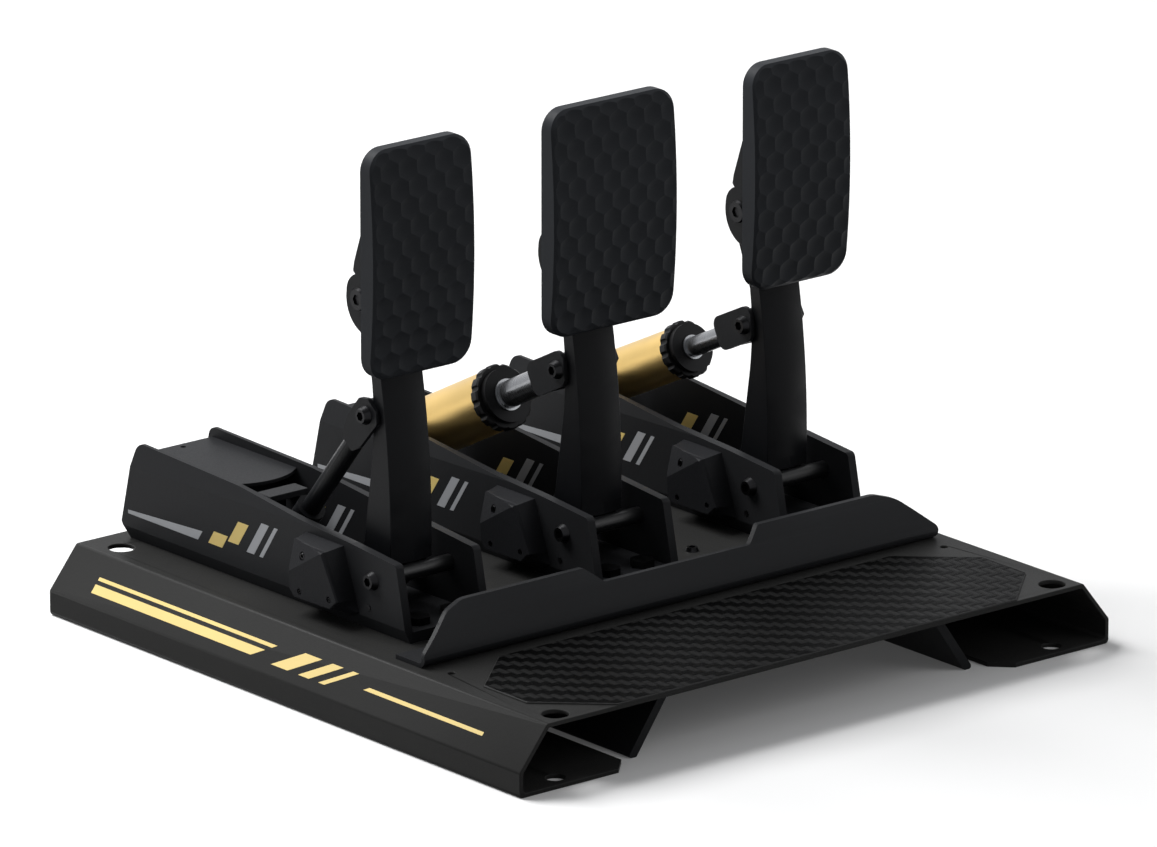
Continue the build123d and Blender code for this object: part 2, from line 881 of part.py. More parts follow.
def make_pad(name):
    """Foot pad: a crowned plate with round corners and a bevelled front edge."""
    x = module_centres[name]
    width = pad_widths[name]
    top = pad_top_height
    bottom = pad_top_height - pad_height
    edge_y = pad_back_y - pad_edge_depth
    with BuildPart() as pad:
        with BuildSketch(side_plane(x)):
            with BuildLine():
                Polyline((edge_y, bottom), (pad_back_y, bottom), (pad_back_y, top), (edge_y, top))
                ThreePointArc(
                    (edge_y, top), (edge_y - pad_crown, (top + bottom) / 2), (edge_y, bottom)
                )
            make_face()
        extrude(amount=width / 2, both=True)
        with BuildSketch(Plane.XZ.offset(-pad_back_y)):
            with Locations((x, (top + bottom) / 2)):
                RectangleRounded(width, pad_height, pad_corner_radius)
        extrude(amount=pad_edge_depth + pad_crown + overrun, mode=Mode.INTERSECT)
        crown = faces().sort_by(Axis.Y)[0]
        chamfer(crown.edges(), length=pad_bevel)
    save(pad, f"{name}_pad")


def make_pad_bracket(name):
    """Bracket on the back of a pad: a base plate and two ears beside the arm's head."""
    x = module_centres[name]
    outer = half_arm + face_gap + bracket_sheet

    def place(shares):
        return scaled(
            shares, pad_back_y, bracket_depth, bracket_foot_height, bracket_height
        )

    lower = place(bracket_lower_shares)
    lobe = place(bracket_lobe_shares)
    rib = place(bracket_rib_shares)
    with BuildPart() as bracket:
        with BuildSketch(cross_plane(x, 0, 0)):
            with BuildLine():
                Line(*lower)
                ThreePointArc(lower[1], lobe[0], lobe[1])
                ThreePointArc(lobe[1], lobe[2], lobe[3])
                Polyline(lobe[3], *rib, lower[0])
            make_face()
        extrude(amount=outer, both=True)
        with BuildSketch(cross_plane(x, 0, 0)):
            with Locations(
                (
                    pad_back_y + bracket_sheet + (bracket_depth + overrun) / 2,
                    bracket_foot_height + bracket_height / 2,
                )
            ):
                Rectangle(bracket_depth + overrun, bracket_height + overrun)
        extrude(amount=half_arm + face_gap, both=True, mode=Mode.SUBTRACT)
        start = cross_plane(x - outer - overrun, arm_head_y, head_height)
        bore(start, cross_bolt_radius + running_fit, 2 * outer + overrun + overrun)
    save(bracket, f"{name}_pad_bracket")


def cross_bolt(x, y, z, left, right, radius, head_radius, head_length):
    """Bolt along X with a socket head on its left and a nut on its right."""
    with BuildSketch(cross_plane(x - left, y, z, -1)) as head:
        Circle(head_radius)
    extrude(head.sketch, amount=head_length, taper=screw_head_taper)
    with BuildSketch(cross_plane(x - left - head_length, y, z)) as socket:
        RegularPolygon(head_radius * socket_share, 6)
    extrude(socket.sketch, amount=head_length * socket_depth_share, mode=Mode.SUBTRACT)
    with BuildSketch(cross_plane(x - left, y, z)) as shank:
        Circle(radius)
    extrude(shank.sketch, amount=left + right + cross_nut_height)
    with BuildSketch(cross_plane(x + right, y, z)) as nut:
        RegularPolygon(head_radius, 6)
    extrude(nut.sketch, amount=cross_nut_height)


def make_arm_bolts(name):
    """Bolt through the arm's head and bolt through the strut's front pivot."""
    x = module_centres[name]
    ear = half_arm + face_gap + bracket_sheet
    left = clevis_half
    right = clevis_half if name != "clutch" else half_arm
    with BuildPart() as arm_bolts:
        cross_bolt(
            x,
            arm_head_y,
            head_height,
            ear,
            ear,
            cross_bolt_radius,
            cross_bolt_head_radius,
            cross_bolt_head_height,
        )
        cross_bolt(
            x,
            strut_pin_y,
            strut_pin_height,
            left + end_play,
            right + end_play,
            strut_pin_radius,
            screw_head_radius,
            screw_head_height,
        )
    save(arm_bolts, f"{name}_arm_bolts")


for name in module_names:
    make_arm(name)
    make_pad(name)
    make_pad_bracket(name)
    make_arm_bolts(name)


def strut_frame(x, anchor_y, anchor_height):
    """Length of a strut and two planes at its front pin: square to it, and beside it."""
    rise_y = anchor_y - strut_pin_y
    rise_z = anchor_height - strut_pin_height
    along = Vector(0, rise_y, rise_z).normalized()
    pin = Vector(x, strut_pin_y, strut_pin_height)
    across = Plane(origin=pin, x_dir=(1, 0, 0), z_dir=along)
    beside = Plane(origin=pin, x_dir=along, z_dir=(1, 0, 0))
    return math.hypot(rise_y, rise_z), across, beside


def disc(plane, radius, length, hole=0):
    """Round disc or ring on a plane, as long as given."""
    with BuildSketch(plane) as section:
        Circle(radius)
        if hole > 0:
            Circle(hole, mode=Mode.SUBTRACT)
    extrude(section.sketch, amount=length)


def make_clevis(name, beside, across, stud_radius):
    """Bent sheet fork that joins the strut to the arm."""
    with BuildPart() as clevis:
        with BuildSketch(beside):
            with BuildLine():
                Polyline(
                    (clevis_length, -clevis_height / 2),
                    (clevis_length, clevis_height / 2),
                    (-clevis_nose - clevis_slant, clevis_height / 2),
                    (-clevis_nose + clevis_slant, -clevis_height / 2),
                    close=True,
                )
            make_face()
            fillet(vertices(), radius=clevis_corner)
        extrude(amount=clevis_half, both=True)
        inner_length = clevis_length - clevis_sheet + clevis_nose + overrun
        with BuildSketch(beside):
            with Locations((clevis_length - clevis_sheet - inner_length / 2, 0)):
                Rectangle(inner_length, clevis_height + overrun)
        extrude(amount=half_arm + face_gap, both=True, mode=Mode.SUBTRACT)
        with BuildSketch(beside):
            Circle(strut_pin_radius + running_fit)
        extrude(amount=clevis_half + overrun, both=True, mode=Mode.SUBTRACT)
        back = across.offset(clevis_length - clevis_sheet)
        bore(back, stud_radius + running_fit, clevis_sheet)
    save(clevis, f"{name}_clevis")


def make_rod(name, across, sizes):
    """Piston rod with a threaded stud, wrench flats and a piston."""
    shoulder = clevis_length + sizes["nut"]
    stud_start = clevis_length - clevis_sheet - stud_length
    with BuildPart() as rod:
        disc(across.offset(stud_start), sizes["stud"], shoulder - stud_start)
        disc(across.offset(shoulder), sizes["rod"], piston_place - shoulder)
        if sizes["nut"] > 0:
            with BuildSketch(across.offset(shoulder)):
                Circle(sizes["rod"] + overrun)
                Rectangle(
                    2 * (sizes["rod"] + overrun),
                    2 * sizes["rod"] * flat_share,
                    mode=Mode.SUBTRACT,
                )
            extrude(amount=flat_length, mode=Mode.SUBTRACT)
        piston_radius = sizes["cylinder"] - cylinder_wall - face_gap
        disc(across.offset(piston_place), piston_radius, piston_length)
    save(rod, f"{name}_rod")


def make_lock_nut(name, across, sizes):
    """Hexagon nut that locks the stud against the clevis."""
    with BuildPart() as lock_nut:
        with BuildSketch(across.offset(clevis_length)):
            RegularPolygon(nut_flats / 2, 6, major_radius=False)
            Circle(sizes["stud"] + running_fit, mode=Mode.SUBTRACT)
        extrude(amount=sizes["nut"])
    save(lock_nut, f"{name}_lock_nut")


def make_gland_ring(name, across, sizes):
    """Bright bush around the rod at the front of the cylinder."""
    with BuildPart() as gland_ring:
        disc(
            across.offset(knob_front - gland_lip),
            sizes["gland"],
            gland_length,
            sizes["rod"] + running_fit,
        )
    save(gland_ring, f"{name}_gland_ring")


def make_knob(name, across, sizes):
    """Adjusting knob: a front disc and a notched rim."""
    spigot = sizes["cylinder"] * spigot_radius_share
    ring_start = knob_front + knob_disc_length
    with BuildPart() as knob:
        disc(across.offset(knob_front), sizes["disc"], knob_disc_length)
        disc(across.offset(ring_start), sizes["knob"], knob_ring_length - end_play)
        rims = edges().filter_by(GeomType.CIRCLE).filter_by(
            lambda e: abs(e.radius - sizes["knob"]) < running_fit
        )
        chamfer(rims, length=knob_bevel)
        notch_ring = sizes["knob"] + knob_notch_radius * knob_notch_share
        with BuildSketch(across.offset(ring_start)):
            with PolarLocations(notch_ring, knob_notches):
                Circle(knob_notch_radius)
        extrude(amount=knob_ring_length, mode=Mode.SUBTRACT)
        bore(across.offset(knob_front), sizes["gland"] + running_fit, knob_disc_length)
        bore(across.offset(ring_start - end_play), spigot + running_fit, knob_ring_length + end_play)
    save(knob, f"{name}_knob")


def make_cylinder(name, across, sizes):
    """Damper cylinder with a spigot for the knob and a bore for the piston."""
    start = knob_front + knob_disc_length + knob_ring_length
    spigot = sizes["cylinder"] * spigot_radius_share
    spigot_start = knob_front + knob_disc_length
    with BuildPart() as cylinder:
        disc(across.offset(start), sizes["cylinder"], cylinder_end - start)
        disc(across.offset(spigot_start), spigot, start - spigot_start)
        gland_bore = start + cylinder_face - spigot_start
        bore(across.offset(spigot_start), sizes["gland"] + running_fit, gland_bore)
        chamber = across.offset(start + cylinder_face)
        bore(chamber, sizes["cylinder"] - cylinder_wall, cylinder_end - start - cylinder_face)
    save(cylinder, f"{name}_cylinder")


def make_rear_end(name, across, beside, length, sizes):
    """Cap and plug of the cylinder with the eye of the rear pivot."""
    with BuildPart() as rear_end:
        plug = sizes["cylinder"] - cylinder_wall - running_fit
        disc(across.offset(cylinder_end - plug_length), plug, plug_length)
        disc(across.offset(cylinder_end), sizes["cap"], cap_length)
        with BuildSketch(beside):
            with Locations(((cylinder_end + cap_length + length) / 2, 0)):
                Rectangle(length - cylinder_end - cap_length, eye_neck)
            with Locations((length, 0)):
                Circle(eye_radius)
        extrude(amount=eye_width / 2, both=True)
        with BuildSketch(beside):
            with Locations((length, 0)):
                Circle(anchor_pin_radius + eye_play)
        extrude(amount=eye_width / 2 + overrun, both=True, mode=Mode.SUBTRACT)
    save(rear_end, f"{name}_rear_end")


def make_damper(name, sizes, anchor_y, anchor_height):
    """All pieces of one damper strut."""
    length, across, beside = strut_frame(module_centres[name], anchor_y, anchor_height)
    make_clevis(name, beside, across, sizes["stud"])
    make_rod(name, across, sizes)
    if sizes["nut"] > 0:
        make_lock_nut(name, across, sizes)
    make_gland_ring(name, across, sizes)
    make_knob(name, across, sizes)
    make_cylinder(name, across, sizes)
    make_rear_end(name, across, beside, length, sizes)


make_damper("brake", brake_sizes, brake_anchor_y, brake_anchor_height)
make_damper("throttle", throttle_sizes, throttle_anchor_y, throttle_anchor_height)


def make_anchor(name, label, anchor_y, anchor_height):
    """Block on the module floor with two cheeks for the rear pin of a damper."""
    x = module_centres[name]
    length = anchor_base_lengths[name]
    cheek_inner = eye_width / 2 + face_gap
    half_width = cheek_inner + anchor_cheek
    with BuildPart() as anchor:
        with BuildSketch(cross_plane(x, 0, 0)):
            with Locations(
                (anchor_y + length * anchor_base_shift_share, floor_top + anchor_base_height / 2)
            ):
                Rectangle(length, anchor_base_height)
            with Locations((anchor_y, (floor_top + anchor_height) / 2)):
                Rectangle(2 * anchor_cheek_radius, anchor_height - floor_top)
            with Locations((anchor_y, anchor_height)):
                Circle(anchor_cheek_radius)
        extrude(amount=half_width, both=True)
        slot_floor = floor_top + anchor_base_height
        slot_top = anchor_height + anchor_cheek_radius + overrun
        with BuildSketch(cross_plane(x, 0, 0)):
            with Locations((anchor_y, (slot_floor + slot_top) / 2)):
                Rectangle(length + overrun + overrun, slot_top - slot_floor)
            with Locations((anchor_y, anchor_height)):
                Circle(eye_radius + face_gap)
        extrude(amount=cheek_inner, both=True, mode=Mode.SUBTRACT)
        start = cross_plane(x - half_width - overrun, anchor_y, anchor_height)
        bore(start, anchor_pin_radius + running_fit, 2 * (half_width + overrun))
    save(anchor, label)


make_anchor("brake", "brake_load_cell", brake_anchor_y, brake_anchor_height)
make_anchor("throttle", "throttle_anchor", throttle_anchor_y, throttle_anchor_height)


# Clutch strut: a plate beside the arm and a tube, which slides in a sleeve with an eye
clutch_x = module_centres["clutch"]
tube_x = clutch_x - clevis_half + tube_radius
strut_length, strut_across, strut_beside = strut_frame(
    tube_x, clutch_anchor_y, clutch_anchor_height
)
can_end = strut_length - can_eye_reach
can_start = can_end - can_length
can_bore_end = can_end - can_floor
tube_end = can_start + tube_overlap
with BuildPart() as clutch_strut_tube:
    plate = scaled(strut_plate_shares, 0, strut_plate_length, 0, strut_plate_width)
    with BuildSketch(strut_beside.offset(-tube_radius)):
        with BuildLine():
            Polyline(*plate, close=True)
        make_face()
        fillet(vertices(), radius=strut_plate_corner)
    extrude(amount=clevis_sheet)
    disc(strut_across.offset(tube_start), tube_radius, tube_end - tube_start)
    with BuildSketch(strut_beside):
        Circle(strut_pin_radius + running_fit)
    extrude(amount=tube_radius, both=True, mode=Mode.SUBTRACT)
save(clutch_strut_tube, "clutch_strut_tube")

with BuildPart() as clutch_strut_can:
    disc(strut_across.offset(can_start), can_radius, can_end - can_start)
    with BuildSketch(strut_beside):
        with Locations(((can_end + strut_length) / 2, 0)):
            Rectangle(strut_length - can_end, can_eye_neck)
        with Locations((strut_length, 0)):
            Circle(can_eye_radius)
    extrude(amount=can_radius, both=True)
    bore(strut_across.offset(can_start), tube_radius + running_fit, can_bore_end - can_start)
    with BuildSketch(strut_beside):
        with Locations((strut_length, 0)):
            Circle(can_pin_radius + eye_play)
    extrude(amount=can_radius + overrun, both=True, mode=Mode.SUBTRACT)
save(clutch_strut_can, "clutch_strut_can")


# Portal bracket around the clutch sleeve: base, two cheeks and a strap over them
portal_inner = can_radius + face_gap
portal_outer = portal_inner + portal_sheet
with BuildPart() as clutch_anchor:
    middle_z = (floor_top + portal_top_height) / 2
    portal_height = portal_top_height - floor_top
    with BuildSketch(Plane.XZ.offset(-clutch_anchor_y)):
        with Locations((tube_x, middle_z)):
            Rectangle(2 * portal_outer, portal_height)
        with Locations((tube_x + portal_outer, portal_top_height - portal_strap / 2)):
            Rectangle(2 * strap_overhang, portal_strap)
        with Locations((tube_x, middle_z + (portal_sheet - portal_strap) / 2)):
            Rectangle(
                2 * portal_inner,
                portal_height - portal_sheet - portal_strap,
                mode=Mode.SUBTRACT,
            )
    extrude(amount=portal_depth / 2, both=True)
    with BuildSketch(Plane.XZ.offset(portal_depth / 2 - clutch_anchor_y)):
        with Locations((tube_x, portal_top_height - portal_strap / 2)):
            Rectangle(2 * (portal_outer + strap_overhang), portal_strap)
    extrude(amount=-strap_setback, mode=Mode.SUBTRACT)
    start = cross_plane(tube_x - portal_outer - overrun, clutch_anchor_y, clutch_anchor_height)
    bore(start, can_pin_radius + running_fit, 2 * (portal_outer + overrun))
save(clutch_anchor, "clutch_anchor")


# Pins of the three rear pivots
with BuildPart() as anchor_pins:
    half_pin = eye_width / 2 + face_gap + anchor_cheek
    for x, y, z, radius, half_length in (
        (0, brake_anchor_y, brake_anchor_height, anchor_pin_radius, half_pin),
        (module_pitch, throttle_anchor_y, throttle_anchor_height, anchor_pin_radius, half_pin),
        (tube_x, clutch_anchor_y, clutch_anchor_height, can_pin_radius, portal_outer),
    ):
        with BuildSketch(cross_plane(x, y, z)):
            Circle(radius)
        extrude(amount=half_length, both=True)
save(anchor_pins, "anchor_pins")


# Controller box at the rear of the clutch module, with the socket for the lead
with BuildPart() as controller_box:
    box_width = 2 * (inner_half - controller_play)
    with BuildSketch(Plane.XY.offset(floor_top)):
        with Locations((clutch_x, controller_rear_y - controller_length / 2)):
            Rectangle(box_width, controller_length)
    extrude(amount=controller_height)
    chamfer(faces().sort_by(Axis.Z)[-1].edges(), length=controller_bevel)
    with BuildSketch(Plane.XZ.offset(-controller_rear_y)):
        with Locations((clutch_x, floor_top + socket_lift + socket_height / 2)):
            Rectangle(socket_width, socket_height)
    extrude(amount=socket_depth, mode=Mode.SUBTRACT)
save(controller_box, "controller_box")
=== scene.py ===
import math

import bmesh
import bpy
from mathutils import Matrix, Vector


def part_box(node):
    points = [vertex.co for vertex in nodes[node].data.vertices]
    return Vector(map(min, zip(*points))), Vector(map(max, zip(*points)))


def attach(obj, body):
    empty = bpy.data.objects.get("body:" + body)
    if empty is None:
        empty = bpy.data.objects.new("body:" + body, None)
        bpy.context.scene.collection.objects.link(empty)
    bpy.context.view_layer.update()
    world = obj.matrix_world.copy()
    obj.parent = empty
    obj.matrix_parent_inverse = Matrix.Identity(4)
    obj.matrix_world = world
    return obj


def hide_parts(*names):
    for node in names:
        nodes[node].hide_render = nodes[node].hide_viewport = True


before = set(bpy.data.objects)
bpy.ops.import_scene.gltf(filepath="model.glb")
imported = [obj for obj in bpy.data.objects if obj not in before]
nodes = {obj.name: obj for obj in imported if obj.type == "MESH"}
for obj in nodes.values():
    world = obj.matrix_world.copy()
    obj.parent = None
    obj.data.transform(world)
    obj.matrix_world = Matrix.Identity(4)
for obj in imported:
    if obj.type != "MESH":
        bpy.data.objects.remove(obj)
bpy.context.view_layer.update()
MM = 0.001


# Camera, floor and light

IMAGE_WIDTH_PX = 1157
SENSOR_WIDTH = 36.0
FOCAL_PX = 12364.5
CAMERA_AZIMUTH = math.radians(-39.582)
CAMERA_ELEVATION = math.radians(17.061)
CAMERA_DISTANCE = 6.5842
CAMERA_TARGET = Vector((0.0008, 0.0, 0.1149))
CAMERA_CLIP = (0.5, 60.0)
FLOOR_HALF = 6.0
FLOOR_ROUGHNESS = 0.9
FLOOR_SPECULAR = 0.1
FLOOR_TONES = (0.14, 0.86)
FLOOR_GLOW = 0.04
SKY_COLOUR = (0.97, 0.98, 1.0, 1)
SKY_STRENGTHS = (0.24, 1.0)
LAMP_TARGET = Vector((0, 0, 0.1))
LAMPS = (
    ("key", Vector((-0.7, 1.6, 2.3)), 1.8, 125),
    ("left", Vector((-2.4, -0.2, 1.1)), 1.2, 1),
    ("front", Vector((1.2, -2.2, 1.8)), 1.6, 12),
)


def make_camera():
    back = Vector((
        math.sin(CAMERA_AZIMUTH) * math.cos(CAMERA_ELEVATION),
        -math.cos(CAMERA_AZIMUTH) * math.cos(CAMERA_ELEVATION),
        math.sin(CAMERA_ELEVATION),
    ))
    data = bpy.data.cameras.new("camera")
    data.sensor_width = SENSOR_WIDTH
    data.lens = FOCAL_PX / IMAGE_WIDTH_PX * SENSOR_WIDTH
    data.clip_start, data.clip_end = CAMERA_CLIP
    camera = bpy.data.objects.new("camera", data)
    bpy.context.scene.collection.objects.link(camera)
    camera.location = CAMERA_TARGET + back * CAMERA_DISTANCE
    camera.rotation_mode = "QUATERNION"
    camera.rotation_quaternion = (-back).to_track_quat("-Z", "Y")
    bpy.context.scene.camera = camera


def area_light(name, place, size, power):
    data = bpy.data.lights.new(name, "AREA")
    data.shape = "RECTANGLE"
    data.size = size
    data.size_y = size
    data.energy = power
    light = bpy.data.objects.new(name, data)
    bpy.context.scene.collection.objects.link(light)
    light.location = place
    light.rotation_mode = "QUATERNION"
    light.rotation_quaternion = (LAMP_TARGET - place).to_track_quat("-Z", "Y")


def background_share(tree, low, high):
    """The high value for rays that show the background, the low one for the others."""
    rays = tree.nodes.new("ShaderNodeLightPath")
    seen = rays.outputs["Is Camera Ray"]
    for kind in ("Is Glossy Ray", "Is Transmission Ray"):
        either = tree.nodes.new("ShaderNodeMath")
        either.operation = "MAXIMUM"
        tree.links.new(seen, either.inputs[0])
        tree.links.new(rays.outputs[kind], either.inputs[1])
        seen = either.outputs[0]
    tone = tree.nodes.new("ShaderNodeMapRange")
    tone.inputs["To Min"].default_value = low
    tone.inputs["To Max"].default_value = high
    tree.links.new(seen, tone.inputs["Value"])
    return tone.outputs["Result"]


def make_stage():
    mesh = bpy.data.meshes.new("floor")
    corners = [(x * FLOOR_HALF, y * FLOOR_HALF, 0) for x, y in ((-1, -1), (1, -1), (1, 1), (-1, 1))]
    mesh.from_pydata(corners, [], [(0, 1, 2, 3)])
    floor = bpy.data.objects.new("floor", mesh)
    bpy.context.scene.collection.objects.link(floor)
    paint = bpy.data.materials.new("floor_paint")
    paint.use_nodes = True
    tree = paint.node_tree
    shader = tree.nodes["Principled BSDF"]
    shader.inputs["Roughness"].default_value = FLOOR_ROUGHNESS
    shader.inputs["Specular IOR Level"].default_value = FLOOR_SPECULAR
    shader.inputs["Emission Color"].default_value = (1, 1, 1, 1)
    tree.links.new(background_share(tree, *FLOOR_TONES), shader.inputs["Base Color"])
    tree.links.new(background_share(tree, 0.0, FLOOR_GLOW), shader.inputs["Emission Strength"])
    mesh.materials.append(paint)

    world = bpy.data.worlds.new("studio")
    bpy.context.scene.world = world
    world.use_nodes = True
    tree = world.node_tree
    background = tree.nodes["Background"]
    background.inputs["Color"].default_value = SKY_COLOUR
    tree.links.new(background_share(tree, *SKY_STRENGTHS), background.inputs["Strength"])
    for lamp in LAMPS:
        area_light(*lamp)


# Node helpers

class Paint:
    """A material under construction, with short calls for the nodes that it needs."""

    def __init__(self, name, rough, metallic=0.0, level=0.5):
        self.material = bpy.data.materials.new(name)
        self.material.use_nodes = True
        self.tree = self.material.node_tree
        self.shader = self.tree.nodes["Principled BSDF"]
        self.shader.inputs["Roughness"].default_value = rough
        self.shader.inputs["Metallic"].default_value = metallic
        self.shader.inputs["Specular IOR Level"].default_value = level
        self.place = self.tree.nodes.new("ShaderNodeTexCoord").outputs["Object"]

    def node(self, kind, **inputs):
        made = self.tree.nodes.new(kind)
        for key, value in inputs.items():
            socket = made.inputs[key]
            if isinstance(value, bpy.types.NodeSocket):
                self.tree.links.new(value, socket)
            else:
                socket.default_value = value
        return made

    def maths(self, operation, first, second=0.0, third=0.0):
        made = self.tree.nodes.new("ShaderNodeMath")
        made.operation = operation
        for socket, value in zip(made.inputs, (first, second, third)):
            if isinstance(value, bpy.types.NodeSocket):
                self.tree.links.new(value, socket)
            else:
                socket.default_value = value
        return made.outputs[0]

    def stretched(self, scale):
        made = self.tree.nodes.new("ShaderNodeMapping")
        made.inputs["Scale"].default_value = scale
        self.tree.links.new(self.place, made.inputs["Vector"])
        return made.outputs["Vector"]

    def noise(self, scale, detail=3.0, vector=None):
        made = self.tree.nodes.new("ShaderNodeTexNoise")
        made.inputs["Scale"].default_value = scale
        made.inputs["Detail"].default_value = detail
        self.tree.links.new(vector or self.place, made.inputs["Vector"])
        return made.outputs["Fac"]

    def span(self, value, low, high, from_low=0.3, from_high=0.7):
        made = self.tree.nodes.new("ShaderNodeMapRange")
        made.inputs["From Min"].default_value = from_low
        made.inputs["From Max"].default_value = from_high
        made.inputs["To Min"].default_value = low
        made.inputs["To Max"].default_value = high
        self.tree.links.new(value, made.inputs["Value"])
        return made.outputs["Result"]

    def blend(self, factor, first, second):
        made = self.tree.nodes.new("ShaderNodeMix")
        made.data_type = "RGBA"
        for index, value in ((0, factor), (6, first), (7, second)):
            socket = made.inputs[index]
            if isinstance(value, bpy.types.NodeSocket):
                self.tree.links.new(value, socket)
            elif index == 0:
                socket.default_value = value
            else:
                socket.default_value = (*value, 1)
        return made.outputs[2]

    def colour(self, value):
        self.tree.links.new(value, self.shader.inputs["Base Color"])

    def rough(self, value):
        self.tree.links.new(value, self.shader.inputs["Roughness"])

    def bump(self, height, strength, distance):
        made = self.tree.nodes.new("ShaderNodeBump")
        made.inputs["Strength"].default_value = strength
        made.inputs["Distance"].default_value = distance
        self.tree.links.new(height, made.inputs["Height"])
        self.tree.links.new(made.outputs["Normal"], self.shader.inputs["Normal"])


def shaded(colour, share):
    return tuple(channel * share for channel in colour)


def coat(name, colour, rough, level=0.3, grain=1.0):
    """Powder coat: fine orange peel, faint clouds in colour and gloss."""
    paint = Paint(name, rough, level=level)
    clouds = paint.noise(9.0)
    paint.colour(paint.blend(paint.span(clouds, 0, 1), shaded(colour, 0.86), shaded(colour, 1.14)))
    speckle = paint.noise(1400.0, 2.0)
    cloudy = paint.span(clouds, rough - 0.04, rough + 0.04)
    paint.rough(paint.maths("ADD", cloudy, paint.span(speckle, -0.05, 0.05)))
    peel = paint.noise(520.0, 2.0)
    paint.bump(paint.maths("ADD", peel, speckle), 0.10 * grain, 0.0004)
    return paint.material


def turned(name, colour, rough, axis, level=0.5):
    """Turned metal: fine rings across the axis that the piece was turned on."""
    paint = Paint(name, rough, metallic=1.0, level=level)
    along = paint.tree.nodes.new("ShaderNodeVectorMath")
    along.operation = "DOT_PRODUCT"
    paint.tree.links.new(paint.place, along.inputs[0])
    along.inputs[1].default_value = axis
    made = paint.tree.nodes.new("ShaderNodeTexNoise")
    made.noise_dimensions = "1D"
    made.inputs["Scale"].default_value = 2600.0
    made.inputs["Detail"].default_value = 3.0
    paint.tree.links.new(along.outputs["Value"], made.inputs["W"])
    rings = made.outputs["Fac"]
    clouds = paint.noise(30.0)
    paint.colour(paint.blend(paint.span(clouds, 0, 1), shaded(colour, 0.93), colour))
    fine = paint.span(rings, rough - 0.06, rough + 0.06)
    paint.rough(paint.maths("ADD", fine, paint.span(clouds, -0.03, 0.03)))
    paint.bump(rings, 0.06, 0.0002)
    return paint.material


def brushed(name, colour, rough, metallic=1.0, level=0.5):
    """Plain machined metal with short scratches and blotches."""
    paint = Paint(name, rough, metallic=metallic, level=level)
    clouds = paint.noise(60.0)
    scratches = paint.noise(500.0, 4.0, paint.stretched((1.0, 0.12, 1.0)))
    paint.colour(paint.blend(paint.span(clouds, 0, 1), shaded(colour, 0.85), colour))
    fine = paint.span(scratches, rough - 0.06, rough + 0.06)
    paint.rough(paint.maths("ADD", fine, paint.span(clouds, -0.04, 0.04)))
    paint.bump(scratches, 0.08, 0.0002)
    return paint.material


def carbon(name, tow, dark, light):
    """Twill weave: each tow passes over two and under two, in steps of one. Each tow has painted shade
    towards its edges, and the sides of the mat have a painted highlight.
    """
    paint = Paint(name, 0.42, level=0.02)
    split = paint.node("ShaderNodeSeparateXYZ", Vector=paint.place)
    across = paint.maths("MULTIPLY", split.outputs["X"], 1 / tow)
    along = paint.maths("MULTIPLY", split.outputs["Y"], 1 / tow)
    step = paint.maths("ADD", paint.maths("FLOOR", across), paint.maths("FLOOR", along))
    turn = paint.maths("FLOORED_MODULO", step, 4.0)
    warp_on_top = paint.maths("LESS_THAN", turn, 1.5)

    def crown(value):
        centred = paint.maths("SUBTRACT", paint.maths("FRACT", value), 0.5)
        return paint.maths("MULTIPLY_ADD", paint.maths("MULTIPLY", centred, centred), -4.0, 1.0)

    def fibres(scale):
        return paint.noise(1.0, 2.0, paint.stretched(scale))

    warp_crown, weft_crown = crown(across), crown(along)
    warp_fibre, weft_fibre = fibres((2600.0, 60.0, 1.0)), fibres((60.0, 2600.0, 1.0))

    def pick(first, second):
        made = paint.tree.nodes.new("ShaderNodeMix")
        paint.tree.links.new(warp_on_top, made.inputs[0])
        paint.tree.links.new(second, made.inputs[2])
        paint.tree.links.new(first, made.inputs[3])
        return made.outputs[0]

    height = pick(warp_crown, weft_crown)
    fibre = pick(warp_fibre, weft_fibre)
    tone = paint.blend(warp_on_top, dark, light)
    # Each tow is painted darker towards its edges (down to 0.35 of its tone): painted shade in the dips
    # between tows, multiplied by the fibre's own streaks.
    shade = paint.maths("MULTIPLY", paint.span(height, 0.35, 1.0, 0.0, 0.8), paint.span(fibre, 0.8, 1.15))
    scaled = paint.tree.nodes.new("ShaderNodeVectorMath")
    scaled.operation = "SCALE"
    paint.tree.links.new(tone, scaled.inputs[0])
    paint.tree.links.new(shade, scaled.inputs["Scale"])
    # Faces that do not face up, the mat's sides and rounded edges, are painted a flat lighter grey: a painted
    # highlight along the mat's edges.
    faces = paint.tree.nodes.new("ShaderNodeSeparateXYZ")
    paint.tree.links.new(paint.tree.nodes["Texture Coordinate"].outputs["Normal"], faces.inputs[0])
    weave_not_edge_highlight = paint.span(faces.outputs["Z"], 0, 1, 0.75, 0.95)
    paint.colour(paint.blend(weave_not_edge_highlight, (0.045, 0.045, 0.045), scaled.outputs[0]))
    paint.rough(paint.span(fibre, 0.36, 0.50))
    paint.bump(paint.maths("MULTIPLY_ADD", height, 1.0, fibre), 0.5, 0.0004)
    return paint.material


# Materials of the CAD nodes

BRAKE_LINE = (0.0, 0.88854, -0.45879)
THROTTLE_LINE = (0.0, 0.90023, -0.43541)
CLUTCH_LINE = (0.0, 0.63369, -0.77359)

